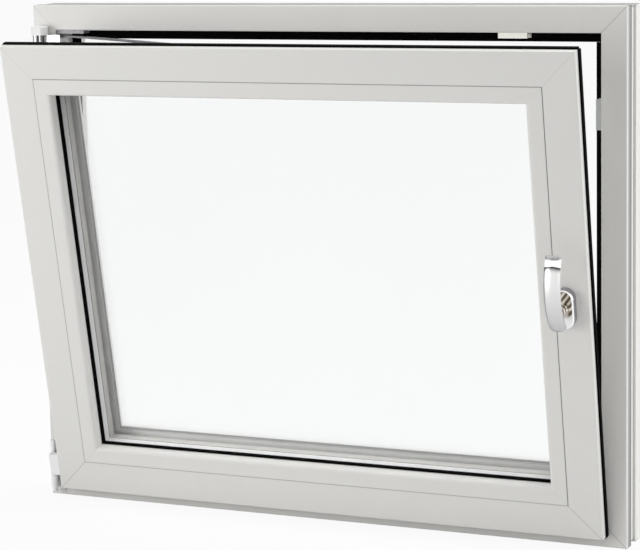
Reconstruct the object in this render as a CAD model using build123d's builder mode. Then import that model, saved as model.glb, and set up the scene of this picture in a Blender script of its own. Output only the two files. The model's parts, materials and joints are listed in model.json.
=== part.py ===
"""A white plastic tilt-and-turn window, seen from the room with its sash tilted in at the top.

Millimetres. X runs to the right as seen from the room, Y runs outdoors, Z is up. The origin is on
the frame's underside, at the middle of its width and of the flat strip between its room face and
the recess round its outside.
"""

import os

from build123d import *

# Frame: outer size, depth, and the section, measured inwards from the outer edge
frame_width = 1090
frame_height = 892
frame_depth = 82
frame_face = 44
frame_edge_radius = 2.5
rebate_front_depth = 30
rebate_step = 3
stop_front_depth = 60
stop_height = 18
stop_flat = 12
stop_bevel = 4
recess_start = 24
recess_end = 50
recess_depth = 4
recess_slot_width = 2.5
recess_slot_depth = 7

# Frame seal, on the room side of the outer stop
frame_seal_thickness = 2.5

# Sash: how it laps the frame, and its section, measured inwards from its outer edge
sash_overlap = 11
sash_proud = 26
sash_depth = 82
sash_edge_radius = 2
lip_depth = 13
lip_height = 23
sash_face = 57
groove_centre_depth = 39
groove_width = 16
groove_step = 3
groove_slot_width = 12
groove_slot_depth = 12
glazing_lip_height = 46
glazing_lip_flat = 6
glazing_lip_bevel = 8

# Sash seal, round the back of the lip
sash_seal_thickness = 9
sash_seal_inset = 6
sash_seal_proud = 3

# Tilt: the axis runs across the window at the foot of the sash
tilt_angle = 10.3
tilt_axis_depth = 13
tilt_axis_height = 40
sash_drop = 8

# Glazing: bead, seals and a sealed triple pane
bead_width = 28
bead_slope = 4
bead_depth = 22
bead_chamfer = 0.8
bead_edge_radius = 6
glazing_seal_thickness = 3
inner_seal_foot = 18
inner_seal_lip = 2
outer_seal_height = 42
glass_edge_gap = 12
pane_thickness = 4
pane_gap = 16
spacer_height = 20

# Lock keeps on the frame
keep_length = 50
keep_depth = 22
keep_height = 9.5
keep_base = 3
keep_wall = 4
keep_offset = 4
top_keep_inset = 150
upper_keep_drop = 131
lower_keep_z = 210

# Lock plates and cams on the sash
plate_end_gap = 60
cam_radius = 4.5
cam_head_radius = 6
cam_length = 7
cam_head_length = 2
side_cam_spacing = 300
top_cam_inset = 182

# Hinge line, in front of the left jamb
hinge_inset = 15
hinge_offset = 15
leaf_thickness = 2.5
leaf_width = 26
web_width = 8
joint_gap = 0.3

# Top hinge and stay arm
bearing_radius = 8
bearing_height = 30
strap_height = 22
strap_drop = 8
cap_height = 16
cap_width = 25
cap_front = 24
cap_radius = 5
strap_thickness = 2.5
block_thickness = 11
block_depth = 28
block_height = 43
block_drop = 13
stay_width = 15
stay_thickness = 3
stay_pivot_inset = 8.5
stay_rise = 1.3
stay_end_x = -30
stay_pin_radius = 2.5
guide_length = 120
guide_width = 14
guide_height = 4
guide_clearance = 2
bracket_length = 55
bracket_depth = 22
bracket_height = 6

# Corner hinge
boss_radius = 6.5
boss_bottom = 16
boss_top = 40
corner_leaf_bottom = 8
corner_leaf_top = 60
knuckle_radius = 6
knuckle_length = 65
hinge_arm_front = 2
hinge_arm_back = 12
hinge_arm_bottom = 25
hinge_arm_height = 40
pin_radius = 3.5
pin_clearance = 0.05
pin_head_radius = 5
pin_head_height = 6

# Handle, on the right stile
handle_inset = 39
handle_drop = 5
rosette_width = 34
rosette_height = 66
rosette_thickness = 16
rosette_edge = 3
handle_clearance = 0.3
grip_width = 27
grip_edge = 3
grip_reach = 72
grip_thickness = 12
grip_crown = 2.5
grip_bow_radius = 110
grip_middle = 40
grip_upper_turn = 37
grip_lower_turn = 36
grip_end_chamfer = 2
tip_bevel_reach = 8
tip_bevel_angle = 40
neck_radius = 11
neck_reach = 57.5
neck_taper = 2

# Drain slots in the outside of the bottom rail
drain_length = 28
drain_height = 5
drain_depth = 6
drain_z = 20
drain_spacing = 600

SIDES = ("top", "bottom", "left", "right")
INWARD = {"top": (0, 0, -1), "bottom": (0, 0, 1), "left": (1, 0, 0), "right": (-1, 0, 0)}

half_width = frame_width / 2
room_face = -recess_start / 2
sash_inset = frame_face - sash_overlap
sash_width = frame_width - 2 * sash_inset
sash_height = frame_height - 2 * sash_inset
hinge_x = -half_width + hinge_inset
hinge_y = room_face - hinge_offset
rebate_x = half_width - frame_face
rebate_z = frame_height - frame_face
strap_top = rebate_z - strap_drop
strap_bottom = strap_top - strap_height
bearing_bottom = strap_bottom - bearing_height
block_top = rebate_z - block_drop
block_bottom = block_top - block_height

# Where the frame's room face is centred, and where the sash's is once it is tilted
frame_place = Location((0, room_face, frame_height / 2))
tilt_axis_y = room_face + tilt_axis_depth
tilt = (
    Location((0, tilt_axis_y, tilt_axis_height - sash_drop), (tilt_angle, 0, 0))
    * Location((0, -tilt_axis_y, -tilt_axis_height))
)
sash_place = tilt * Location((0, room_face - sash_proud, frame_height / 2))


def save(part, name):
    part.label = name
    export_step(part, f"parts/{name}.step")


def carried(place, plane):
    """A plane of a piece's own frame, carried to where the piece is placed."""
    return Plane(place * plane.location)


def swung(plane, angle):
    """The plane, turned about its own y axis."""
    return Plane(plane.location * Location((0, 0, 0), (0, angle, 0)))


def mitred_rail(section, width, height, side, place):
    """One side of a rectangular ring, mitred at both ends. The section's x runs inwards from the
    ring's outer edge and its y runs outdoors from the ring's room face."""
    across = side in ("top", "bottom")
    inward = Vector(*INWARD[side])
    along = inward.cross(Vector(0, 1, 0))
    edge = inward * (-height / 2 if across else -width / 2)
    half_length = width / 2 if across else height / 2
    with BuildPart() as rail:
        with BuildSketch(carried(place, Plane(origin=edge, x_dir=inward, z_dir=along))):
            add(section)
        extrude(amount=half_length, both=True)
        for end in (along, -along):
            mitre = Plane(origin=edge + end * half_length, z_dir=end + inward)
            split(bisect_by=carried(place, mitre), keep=Keep.BOTTOM)
    return rail.part


def mitred_ring(section, width, height, place):
    """All four sides of such a ring, welded at the corners."""
    rails = [mitred_rail(section, width, height, side, place) for side in SIDES]
    with BuildPart() as ring:
        add(rails)
    return ring.part


def box_between(low, high):
    """A box from its lowest to its highest corner, placed by its plane."""
    size = Vector(*high) - Vector(*low)
    middle = (Vector(*high) + Vector(*low)) * 0.5
    with BuildPart() as box:
        with BuildSketch(Plane(origin=(middle.X, middle.Y, low[2]))):
            Rectangle(size.X, size.Y)
        extrude(amount=size.Z)
    return box.part


os.makedirs("parts", exist_ok=True)

# Frame profile: room face, rebate, outer stop with its bevel, and the recess round the outside
stop_edge = frame_face + stop_height
with BuildSketch() as frame_section:
    with BuildLine():
        Polyline(
            (0, 0),
            (frame_face, 0),
            (frame_face, rebate_front_depth),
            (frame_face - rebate_step, rebate_front_depth + rebate_step),
            (frame_face - rebate_step, stop_front_depth),
            (stop_edge, stop_front_depth),
            (stop_edge, stop_front_depth + stop_flat),
            (stop_edge - stop_bevel, frame_depth),
            (0, frame_depth),
            (0, recess_end),
            (recess_slot_depth, recess_end),
            (recess_slot_depth, recess_end - recess_slot_width),
            (recess_depth, recess_end - recess_slot_width),
            (recess_depth, recess_start),
            (0, recess_start),
            close=True,
        )
    make_face()
    room_corners = frame_section.vertices().group_by(Axis.Y)[0]
    fillet(room_corners, frame_edge_radius)

for side in SIDES:
    frame_rail = mitred_rail(frame_section.sketch, frame_width, frame_height, side, frame_place)
    if side == "bottom":
        with BuildPart() as drained_rail:
            add(frame_rail)
            drain_plane = Plane((0, room_face + frame_depth, drain_z), x_dir=(1, 0, 0), z_dir=(0, -1, 0))
            with BuildSketch(drain_plane):
                with GridLocations(drain_spacing, 0, 2, 1):
                    SlotOverall(drain_length, drain_height)
            extrude(amount=drain_depth, mode=Mode.SUBTRACT)
        frame_rail = drained_rail.part
    kind = "rail" if side in ("top", "bottom") else "jamb"
    save(frame_rail, f"frame_{side}_{kind}")

# Frame seal: a flat rubber strip over the whole front of the stop
with BuildSketch() as frame_seal_section:
    with BuildLine():
        Polyline(
            (frame_face, stop_front_depth),
            (frame_face, stop_front_depth - frame_seal_thickness / 2),
            (stop_edge - stop_height / 2, stop_front_depth - frame_seal_thickness),
            (stop_edge, stop_front_depth - frame_seal_thickness / 2),
            (stop_edge, stop_front_depth),
            close=True,
        )
    make_face()
save(mitred_ring(frame_seal_section.sketch, frame_width, frame_height, frame_place), "frame_seal")

# Sash profile: lip, lock groove, glazing rebate and the outer glazing lip
groove_front = groove_centre_depth - groove_width / 2
groove_back = groove_centre_depth + groove_width / 2
slot_front = groove_centre_depth - groove_slot_width / 2
slot_back = groove_centre_depth + groove_slot_width / 2
glass_front = bead_depth + glazing_seal_thickness
pane_pitch = pane_thickness + pane_gap
glass_back = glass_front + 2 * pane_pitch + pane_thickness
lip_front = glass_back + glazing_seal_thickness
glazing_lip_edge = sash_face + glazing_lip_height
with BuildSketch() as sash_section:
    with BuildLine():
        Polyline(
            (0, 0),
            (sash_face, 0),
            (sash_face, lip_front),
            (glazing_lip_edge, lip_front),
            (glazing_lip_edge, lip_front + glazing_lip_flat),
            (glazing_lip_edge - glazing_lip_bevel, sash_depth),
            (lip_height, sash_depth),
            (lip_height, groove_back),
            (lip_height + groove_step, groove_back),
            (lip_height + groove_step, slot_back),
            (lip_height + groove_slot_depth, slot_back),
            (lip_height + groove_slot_depth, slot_front),
            (lip_height + groove_step, slot_front),
            (lip_height + groove_step, groove_front),
            (lip_height, groove_front),
            (lip_height, lip_depth),
            (0, lip_depth),
            close=True,
        )
    make_face()
    lip_corner = sash_section.vertices().group_by(Axis.Y)[0].sort_by(Axis.X)[0]
    fillet(lip_corner, sash_edge_radius)

for side in SIDES:
    sash_rail = mitred_rail(sash_section.sketch, sash_width, sash_height, side, sash_place)
    kind = "rail" if side in ("top", "bottom") else "stile"
    save(sash_rail, f"sash_{side}_{kind}")

# Sash seal: a rubber strip on the back of the lip, standing out past its edge
with BuildSketch() as sash_seal_section:
    with BuildLine():
        Polyline(
            (-sash_seal_proud, lip_depth),
            (sash_seal_inset, lip_depth),
            (sash_seal_inset - sash_seal_thickness / 2, lip_depth + sash_seal_thickness),
            (-sash_seal_proud, lip_depth + sash_seal_thickness),
            close=True,
        )
    make_face()
save(mitred_ring(sash_seal_section.sketch, sash_width, sash_height, sash_place), "sash_seal")

# Glazing beads: clipped in from the room, with a flat face and a face sloping to the glass
bead_edge = sash_face + bead_width
with BuildSketch() as bead_section:
    with BuildLine():
        Polyline(
            (sash_face, bead_chamfer),
            (sash_face + bead_chamfer, 0),
            (bead_edge, 0),
            (bead_edge + bead_slope, bead_depth),
            (sash_face, bead_depth),
            close=True,
        )
    make_face()
    bead_corner = bead_section.vertices().group_by(Axis.Y)[0].sort_by(Axis.X)[-1]
    fillet(bead_corner, bead_edge_radius)

for side in SIDES:
    bead = mitred_rail(bead_section.sketch, sash_width, sash_height, side, sash_place)
    save(bead, f"glazing_bead_{side}")

# Glazing seals, on both faces of the glass
inner_seal_edge = bead_edge + bead_slope + inner_seal_lip
with BuildSketch() as inner_seal_section:
    with BuildLine():
        Polyline(
            (inner_seal_edge - inner_seal_foot, bead_depth),
            (bead_edge + bead_slope, bead_depth),
            (inner_seal_edge, glass_front - glazing_seal_thickness / 2),
            (inner_seal_edge, glass_front),
            (inner_seal_edge - inner_seal_foot, glass_front),
            close=True,
        )
    make_face()
save(mitred_ring(inner_seal_section.sketch, sash_width, sash_height, sash_place), "glazing_seal_inner")

with BuildSketch() as outer_seal_section:
    with BuildLine():
        Polyline(
            (sash_face + glass_edge_gap, glass_back),
            (sash_face + outer_seal_height, glass_back),
            (sash_face + outer_seal_height, glass_back + glazing_seal_thickness / 2),
            (glazing_lip_edge, lip_front),
            (sash_face + glass_edge_gap, lip_front),
            close=True,
        )
    make_face()
save(mitred_ring(outer_seal_section.sketch, sash_width, sash_height, sash_place), "glazing_seal_outer")

# Three panes and the spacers that hold them apart
glass_width = sash_width - 2 * (sash_face + glass_edge_gap)
glass_height = sash_height - 2 * (sash_face + glass_edge_gap)
for number, name in enumerate(("inner_pane", "middle_pane", "outer_pane")):
    pane_front = (0, glass_front + number * pane_pitch, 0)
    pane_plane = carried(sash_place, Plane(pane_front, x_dir=(1, 0, 0), z_dir=(0, 1, 0)))
    with BuildPart() as pane:
        with BuildSketch(pane_plane):
            Rectangle(glass_width, glass_height)
        extrude(amount=pane_thickness)
    save(pane.part, name)

spacer_middle = sash_face + glass_edge_gap + spacer_height / 2
with BuildPart() as pane_spacer:
    for number in range(2):
        gap_middle = glass_front + number * pane_pitch + pane_thickness + pane_gap / 2
        with BuildSketch() as spacer_section:
            with Locations((spacer_middle, gap_middle)):
                Rectangle(spacer_height, pane_gap)
        add(mitred_ring(spacer_section.sketch, sash_width, sash_height, sash_place))
save(pane_spacer.part, "pane_spacer")

# Lock keeps: channels screwed to the rebate, whose walls the cams slide between
with BuildSketch() as keep_section:
    with BuildLine():
        Polyline(
            (0, 0),
            (keep_height, 0),
            (keep_height, keep_wall),
            (keep_base, keep_wall),
            (keep_base, keep_depth - keep_wall),
            (keep_height, keep_depth - keep_wall),
            (keep_height, keep_depth),
            (0, keep_depth),
            close=True,
        )
    make_face()

for name, x, z, inward in (
    ("keep_top", rebate_x - top_keep_inset, rebate_z, Vector(0, 0, -1)),
    ("keep_side_upper", rebate_x, rebate_z - upper_keep_drop, Vector(-1, 0, 0)),
    ("keep_side_lower", rebate_x, lower_keep_z, Vector(-1, 0, 0)),
):
    along = inward.cross(Vector(0, 1, 0))
    with BuildPart() as keep:
        with BuildSketch(Plane(origin=(x, room_face + keep_offset, z), x_dir=inward, z_dir=along)):
            add(keep_section.sketch)
        extrude(amount=keep_length / 2, both=True)
    save(keep.part, name)

# Lock plates, let into the groove of the top rail and of the right stile
plate_bottom = lip_height + groove_step
for name, side, length in (
    ("lock_plate_top", "top", sash_width),
    ("lock_plate_side", "right", sash_height),
):
    inward = Vector(*INWARD[side])
    reach = sash_height / 2 if side == "top" else sash_width / 2
    floor = inward * (plate_bottom - reach) + Vector(0, groove_centre_depth, 0)
    with BuildPart() as plate:
        with BuildSketch(carried(sash_place, Plane(origin=floor, x_dir=(0, 1, 0), z_dir=-inward))):
            Rectangle(groove_width, length - 2 * plate_end_gap)
        extrude(amount=groove_step)
    save(plate.part, name)

# Lock cams: mushroom heads that stand on the lock plates
side_cam_x = sash_width / 2 - lip_height
top_cam_x = sash_width / 2 - top_cam_inset
top_cam_z = sash_height / 2 - lip_height
side_cam_heights = (-side_cam_spacing, 0, side_cam_spacing)
cam_feet = [((side_cam_x, groove_centre_depth, z), (1, 0, 0)) for z in side_cam_heights]
cam_feet.append(((top_cam_x, groove_centre_depth, top_cam_z), (0, 0, 1)))
with BuildPart() as lock_cams:
    for foot, outward in cam_feet:
        cam_plane = carried(sash_place, Plane(origin=foot, z_dir=outward))
        with BuildSketch(cam_plane):
            Circle(cam_radius)
        extrude(amount=cam_length)
        with BuildSketch(cam_plane.offset(cam_length - cam_head_length)):
            Circle(cam_head_radius)
        extrude(amount=cam_head_length)
save(lock_cams.part, "lock_cams")

# Top hinge: a barrel on a leaf that is screwed to the left jamb
leaf_y = room_face - leaf_thickness / 2
with BuildPart() as stay_bearing:
    with BuildSketch(Plane.XY.offset(bearing_bottom)):
        with Locations((hinge_x, hinge_y)):
            Circle(bearing_radius)
        with Locations((hinge_x, (hinge_y + room_face) / 2)):
            Rectangle(web_width, hinge_offset)
        with Locations((hinge_x, leaf_y)):
            Rectangle(leaf_width, leaf_thickness)
    extrude(amount=strap_bottom - joint_gap - bearing_bottom)
save(stay_bearing.part, "stay_bearing")

# Strap: a knuckle on top of the barrel, and an arm across the jamb's face to the pivot block
strap_back = room_face - leaf_thickness - joint_gap
strap_left = hinge_x - web_width / 2
strap_right = -rebate_x + block_thickness
with BuildPart() as stay_strap:
    with BuildSketch(Plane.XY.offset(strap_bottom)):
        with Locations((hinge_x, hinge_y)):
            Circle(bearing_radius)
        with Locations((hinge_x, (hinge_y + strap_back) / 2)):
            Rectangle(web_width, strap_back - hinge_y)
        with Locations(((strap_left + strap_right) / 2, strap_back - strap_thickness / 2)):
            Rectangle(strap_right - strap_left, strap_thickness)
    extrude(amount=strap_top - strap_bottom)
save(stay_strap.part, "stay_strap")

# Plastic cap over the knuckle
cap_left = hinge_x - bearing_radius - joint_gap
with BuildPart() as stay_cap:
    with BuildSketch(Plane.XY.offset(strap_top)):
        with Locations((cap_left + cap_width / 2, room_face - joint_gap - cap_front / 2)):
            RectangleRounded(cap_width, cap_front, cap_radius)
    extrude(amount=cap_height)
    fillet(stay_cap.faces().sort_by(Axis.Z)[-1].edges(), cap_radius / 2)
save(stay_cap.part, "stay_bearing_cap")

# Pivot block, screwed to the rebate of the left jamb, which carries the near end of the stay
stay_block = box_between(
    (-rebate_x, strap_back, block_bottom),
    (strap_right, room_face + block_depth, block_top),
)
save(stay_block, "stay_pivot_block")

# Bracket in the corner of the frame's rebate, above the stay
bracket_front = room_face + keep_offset
stay_bracket = box_between(
    (-rebate_x, bracket_front, rebate_z - bracket_height),
    (-rebate_x + bracket_length, bracket_front + bracket_depth, rebate_z),
)
save(stay_bracket, "stay_bracket")

# Guide on the sash's top lock plate, which the stay's far end slides in
guide_foot = Vector(stay_end_x, groove_centre_depth, top_cam_z)
with BuildPart() as stay_guide:
    with BuildSketch(carried(sash_place, Plane(origin=guide_foot, x_dir=(1, 0, 0), z_dir=(0, 0, 1)))):
        SlotOverall(guide_length, guide_width)
    extrude(amount=guide_height)
save(stay_guide.part, "stay_guide")

# Stay arm: a flat bar from the pivot block to the guide, with a pivot pin at each end
stay_start = Vector(-rebate_x + stay_pivot_inset, tilt_axis_y, block_top + stay_rise)
guide_top = carried(sash_place, Plane(origin=guide_foot + Vector(0, 0, guide_height), z_dir=(0, 0, 1)))
stay_end = guide_top.origin + guide_top.z_dir * guide_clearance
stay_run = stay_end - stay_start
stay_side = stay_run.cross(Vector(0, 0, 1)).normalized()
stay_middle = (stay_start + stay_end) * 0.5
stay_plane = Plane(stay_middle, x_dir=stay_run, z_dir=stay_side.cross(stay_run))
with BuildPart() as stay_arm:
    with BuildSketch(stay_plane):
        SlotCenterToCenter(stay_run.length, stay_width)
    extrude(amount=stay_thickness)
    with BuildSketch(Plane(origin=(stay_start.X, stay_start.Y, block_top))):
        Circle(stay_pin_radius)
    extrude(amount=stay_rise + stay_thickness)
    with BuildSketch(guide_top):
        Circle(stay_pin_radius)
    extrude(amount=guide_clearance + stay_thickness / 2)
save(stay_arm.part, "stay_arm")

# Corner hinge: a boss on a leaf on the jamb, the sash's knuckle above it, and one pin
with BuildPart() as corner_hinge:
    with BuildSketch(Plane.XY.offset(boss_bottom)):
        with Locations((hinge_x, hinge_y)):
            Circle(boss_radius)
        with Locations((hinge_x, (hinge_y + room_face) / 2)):
            Rectangle(web_width, hinge_offset)
    extrude(amount=boss_top - boss_bottom)
    with BuildSketch(Plane.XY.offset(corner_leaf_bottom)):
        with Locations((hinge_x, leaf_y)):
            Rectangle(leaf_width, leaf_thickness)
    extrude(amount=corner_leaf_top - corner_leaf_bottom)
    with BuildSketch(Plane.XY.offset(boss_bottom)):
        with Locations((hinge_x, hinge_y)):
            Circle(pin_radius + pin_clearance)
    extrude(amount=boss_top - boss_bottom, mode=Mode.SUBTRACT)
save(corner_hinge.part, "corner_hinge_leaf")

knuckle_bottom = boss_top + joint_gap
hinge_arm_foot = (-sash_width / 2, 0, hinge_arm_bottom - sash_height / 2)
with BuildPart() as corner_knuckle:
    with BuildSketch(Plane.XY.offset(knuckle_bottom)):
        with Locations((hinge_x, hinge_y)):
            Circle(knuckle_radius)
    extrude(amount=knuckle_length)
    with BuildSketch(carried(sash_place, Plane(origin=hinge_arm_foot, z_dir=(0, 0, 1)))):
        with BuildLine():
            Polyline(
                (0, hinge_arm_front),
                (0, hinge_arm_back),
                (hinge_x + sash_width / 2, hinge_arm_back),
                (hinge_x + sash_width / 2, hinge_arm_front),
                close=True,
            )
        make_face()
    extrude(amount=hinge_arm_height)
    with BuildSketch(Plane.XY.offset(knuckle_bottom)):
        with Locations((hinge_x, hinge_y)):
            Circle(pin_radius + pin_clearance)
    extrude(amount=knuckle_length, mode=Mode.SUBTRACT)
save(corner_knuckle.part, "corner_hinge_knuckle")

pin_bottom = boss_bottom - pin_head_height
with BuildPart() as hinge_pin:
    with BuildSketch(Plane.XY.offset(pin_bottom)):
        with Locations((hinge_x, hinge_y)):
            Circle(pin_head_radius)
    extrude(amount=pin_head_height)
    with BuildSketch(Plane.XY.offset(boss_bottom)):
        with Locations((hinge_x, hinge_y)):
            Circle(pin_radius)
    extrude(amount=knuckle_bottom + knuckle_length - boss_bottom)
save(hinge_pin.part, "corner_hinge_pin")

# Handle rosette: an oval boss on the stile's face
spindle = Vector(sash_width / 2 - handle_inset, 0, -handle_drop)
rosette_plane = carried(sash_place, Plane(origin=spindle, x_dir=(0, 0, 1), z_dir=(0, -1, 0)))
with BuildPart() as handle_rosette:
    with BuildSketch(rosette_plane):
        SlotOverall(rosette_height, rosette_width)
    extrude(amount=rosette_thickness)
    rosette_rim = handle_rosette.faces().sort_by(Axis(rosette_plane.origin, rosette_plane.z_dir))[-1]
    fillet(rosette_rim.edges(), rosette_edge)
save(handle_rosette.part, "handle_rosette")

# Handle grip: a bowed bar with a crowned front and bevelled flanks, swept about the bow's centre.
# The section's x runs from that centre out into the room and its y runs across the grip
half_grip = grip_width / 2
grip_back = grip_bow_radius - grip_thickness
grip_shoulder = grip_bow_radius - grip_crown
with BuildSketch() as grip_section:
    with BuildLine():
        crown = ThreePointArc(
            (grip_shoulder, grip_edge - half_grip),
            (grip_bow_radius, 0),
            (grip_shoulder, half_grip - grip_edge),
        )
        Polyline(
            crown @ 1,
            (grip_shoulder - grip_edge, half_grip),
            (grip_back + grip_edge, half_grip),
            (grip_back, half_grip - grip_edge),
            (grip_back, grip_edge - half_grip),
            (grip_back + grip_edge, -half_grip),
            (grip_shoulder - grip_edge, -half_grip),
            crown @ 0,
        )
    make_face()

bow_centre = spindle + Vector(0, grip_bow_radius - grip_reach, grip_middle)
bow_plane = carried(sash_place, Plane(origin=bow_centre, x_dir=(0, -1, 0), z_dir=(0, 0, 1)))
bow_axis = Axis(bow_plane.origin, -bow_plane.y_dir)
lower_end = swung(bow_plane, grip_lower_turn)
upper_end = swung(bow_plane, -grip_upper_turn)
tip_bevel = Plane(
    upper_end.origin + upper_end.x_dir * (grip_bow_radius - tip_bevel_reach),
    z_dir=swung(upper_end, tip_bevel_angle).z_dir,
)
neck_start = rosette_thickness + handle_clearance
with BuildPart() as handle_grip:
    with BuildSketch(lower_end):
        add(grip_section.sketch)
    revolve(axis=bow_axis, revolution_arc=grip_lower_turn + grip_upper_turn)
    lower_face = handle_grip.faces().sort_by(Axis(lower_end.origin, lower_end.z_dir))[0]
    chamfer(lower_face.edges(), grip_end_chamfer)
    split(bisect_by=tip_bevel, keep=Keep.BOTTOM)
    with BuildSketch(rosette_plane.offset(neck_start)):
        Circle(neck_radius)
    extrude(amount=neck_reach - neck_start, taper=neck_taper)
save(handle_grip.part, "handle_grip")
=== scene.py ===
"""A white plastic tilt-and-turn window with its sash tilted in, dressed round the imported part."""

import json
import math

import bmesh
import bpy
from mathutils import Matrix, Vector


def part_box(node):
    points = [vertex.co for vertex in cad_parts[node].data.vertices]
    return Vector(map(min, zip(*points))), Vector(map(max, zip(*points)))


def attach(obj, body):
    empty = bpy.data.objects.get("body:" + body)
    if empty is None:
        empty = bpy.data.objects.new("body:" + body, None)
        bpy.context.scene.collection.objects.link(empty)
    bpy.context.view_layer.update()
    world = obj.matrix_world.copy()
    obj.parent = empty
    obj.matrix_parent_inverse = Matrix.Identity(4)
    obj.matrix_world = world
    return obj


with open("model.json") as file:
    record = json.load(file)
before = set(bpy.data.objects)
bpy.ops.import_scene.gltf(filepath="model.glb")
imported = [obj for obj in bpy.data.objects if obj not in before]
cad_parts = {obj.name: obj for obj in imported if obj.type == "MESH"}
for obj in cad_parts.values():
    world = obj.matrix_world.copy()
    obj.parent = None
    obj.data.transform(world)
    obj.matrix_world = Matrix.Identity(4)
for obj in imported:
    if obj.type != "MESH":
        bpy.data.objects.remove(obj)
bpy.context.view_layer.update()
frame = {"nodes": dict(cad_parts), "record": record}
MM = 0.001

# Camera: stands to the right of the window, a little above its top, and looks down at it through
# a long lens
sensor_width = 36
photo_width = 640
focal_pixels = 2300.8
camera_place = Vector((1579.7, -3564.5, 1079.0)) * MM
camera_yaw = math.radians(-23.95)
camera_pitch = math.radians(-9.44)
camera_roll = math.radians(-1.20)
camera_data = bpy.data.cameras.new("camera")
camera_data.sensor_width = sensor_width
camera_data.lens = focal_pixels * sensor_width / photo_width
camera = bpy.data.objects.new("camera", camera_data)
bpy.context.scene.collection.objects.link(camera)
forward = Vector(
    (
        math.sin(camera_yaw) * math.cos(camera_pitch),
        math.cos(camera_yaw) * math.cos(camera_pitch),
        math.sin(camera_pitch),
    )
)
level_right = forward.cross(Vector((0, 0, 1))).normalized()
level_up = level_right.cross(forward)
right = level_right * math.cos(camera_roll) + level_up * math.sin(camera_roll)
up = level_up * math.cos(camera_roll) - level_right * math.sin(camera_roll)
turned = Matrix((right, up, -forward)).transposed()
camera.matrix_world = Matrix.Translation(camera_place) @ turned.to_4x4()
bpy.context.scene.camera = camera

# Studio: a pale floor and a white world that lens, metal and glass see, with soft lamps above,
# to the right and far to the left, so that edges which face up or right shine
bpy.context.scene.view_settings.view_transform = "Standard"


def new_material(name):
    """A material with nodes."""
    material = bpy.data.materials.new(name)
    material.use_nodes = True
    return material


def shader_of(material):
    """A material's Principled BSDF."""
    return material.node_tree.nodes["Principled BSDF"]


def maths(tree, operation, *operands, clamp=False):
    """One step of arithmetic, whose operands are numbers or sockets."""
    node = tree.nodes.new("ShaderNodeMath")
    node.operation = operation
    node.use_clamp = clamp
    for socket, operand in zip(node.inputs, operands):
        if isinstance(operand, bpy.types.NodeSocket):
            tree.links.new(operand, socket)
        else:
            socket.default_value = operand
    return node.outputs[0]


def ranged(tree, share, low, high):
    """A number that goes from one value to another as a share goes from 0 to 1."""
    return maths(tree, "MULTIPLY_ADD", share, high - low, low)


def seen_directly(tree):
    """1 for camera, mirror and glass rays, and 0 for the rays that light the object."""
    path = tree.nodes.new("ShaderNodeLightPath")
    mirrored = maths(tree, "MAXIMUM", path.outputs["Is Camera Ray"], path.outputs["Is Glossy Ray"])
    return maths(tree, "MAXIMUM", mirrored, path.outputs["Is Transmission Ray"])


def blended_surface(tree, share, first, second):
    """Makes a blend of two shaders the material's surface."""
    blend = tree.nodes.new("ShaderNodeMixShader")
    tree.links.new(share, blend.inputs["Fac"])
    tree.links.new(first.outputs[0], blend.inputs[1])
    tree.links.new(second.outputs[0], blend.inputs[2])
    tree.links.new(blend.outputs[0], tree.nodes["Material Output"].inputs["Surface"])


room_light = 0.46
full_white = 1
world = bpy.data.worlds.new("studio")
world.use_nodes = True
bpy.context.scene.world = world
world_tree = world.node_tree
backdrop = world_tree.nodes["Background"]
backdrop.inputs["Color"].default_value = (1, 1, 1, 1)
world_strength = ranged(world_tree, seen_directly(world_tree), room_light, full_white)
world_tree.links.new(world_strength, backdrop.inputs["Strength"])

floor_size = 40
floor_drop = 0.5 * MM
floor_grey = (0.82, 0.82, 0.82, 1)
floor_roughness = 0.9
floor_glow_share = 0.92
bpy.ops.mesh.primitive_plane_add(size=floor_size, location=(0, 0, -floor_drop))
floor = bpy.context.object
floor.name = "floor"
floor_finish = new_material("floor")
floor_tree = floor_finish.node_tree
floor_shader = shader_of(floor_finish)
floor_shader.inputs["Base Color"].default_value = floor_grey
floor_shader.inputs["Roughness"].default_value = floor_roughness
floor_glow = floor_tree.nodes.new("ShaderNodeEmission")
glow_share = maths(floor_tree, "MULTIPLY", seen_directly(floor_tree), floor_glow_share)
blended_surface(floor_tree, glow_share, floor_shader, floor_glow)
floor.data.materials.append(floor_finish)


def soft_lamp(name, place, target, size, power):
    """A square soft box that faces a point of the window."""
    data = bpy.data.lights.new(name, "AREA")
    data.size = size
    data.energy = power
    lamp = bpy.data.objects.new(name, data)
    bpy.context.scene.collection.objects.link(lamp)
    aim = Vector(target) - Vector(place)
    facing_target = aim.to_track_quat("-Z", "Y").to_matrix().to_4x4()
    lamp.matrix_world = Matrix.Translation(place) @ facing_target


soft_lamp("left_lamp", place=(-2.3, -2.6, 0.95), target=(-0.3, 0, 0.5), size=1.7, power=37)
soft_lamp("top_lamp", place=(0.3, 0.5, 3.1), target=(0, 0, 0.8), size=2.0, power=46)
soft_lamp("right_lamp", place=(3.3, 0.6, 1.2), target=(0.5, 0, 0.5), size=1.8, power=40)


# Outer frame: four extruded plastic profiles, cut at 45 degrees and welded. The weld shows as a
# thin line at each corner, and the skin has the faint orange peel and clouding of the extruder.
# Welds and seams are dark joints, and their strength on each side is painted shade, set to how they
# show in the light
def shader_group(name, inputs, outputs):
    """An empty shader group, its two ends and its named sockets."""
    group = bpy.data.node_groups.new(name, "ShaderNodeTree")
    for label, kind, value in inputs:
        socket = group.interface.new_socket(name=label, in_out="INPUT", socket_type=kind)
        socket.default_value = value
    for label, kind in outputs:
        group.interface.new_socket(name=label, in_out="OUTPUT", socket_type=kind)
    return group, group.nodes.new("NodeGroupInput"), group.nodes.new("NodeGroupOutput")


NUMBER = "NodeSocketFloat"
COLOUR = "NodeSocketColor"
VECTOR = "NodeSocketVector"


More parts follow.
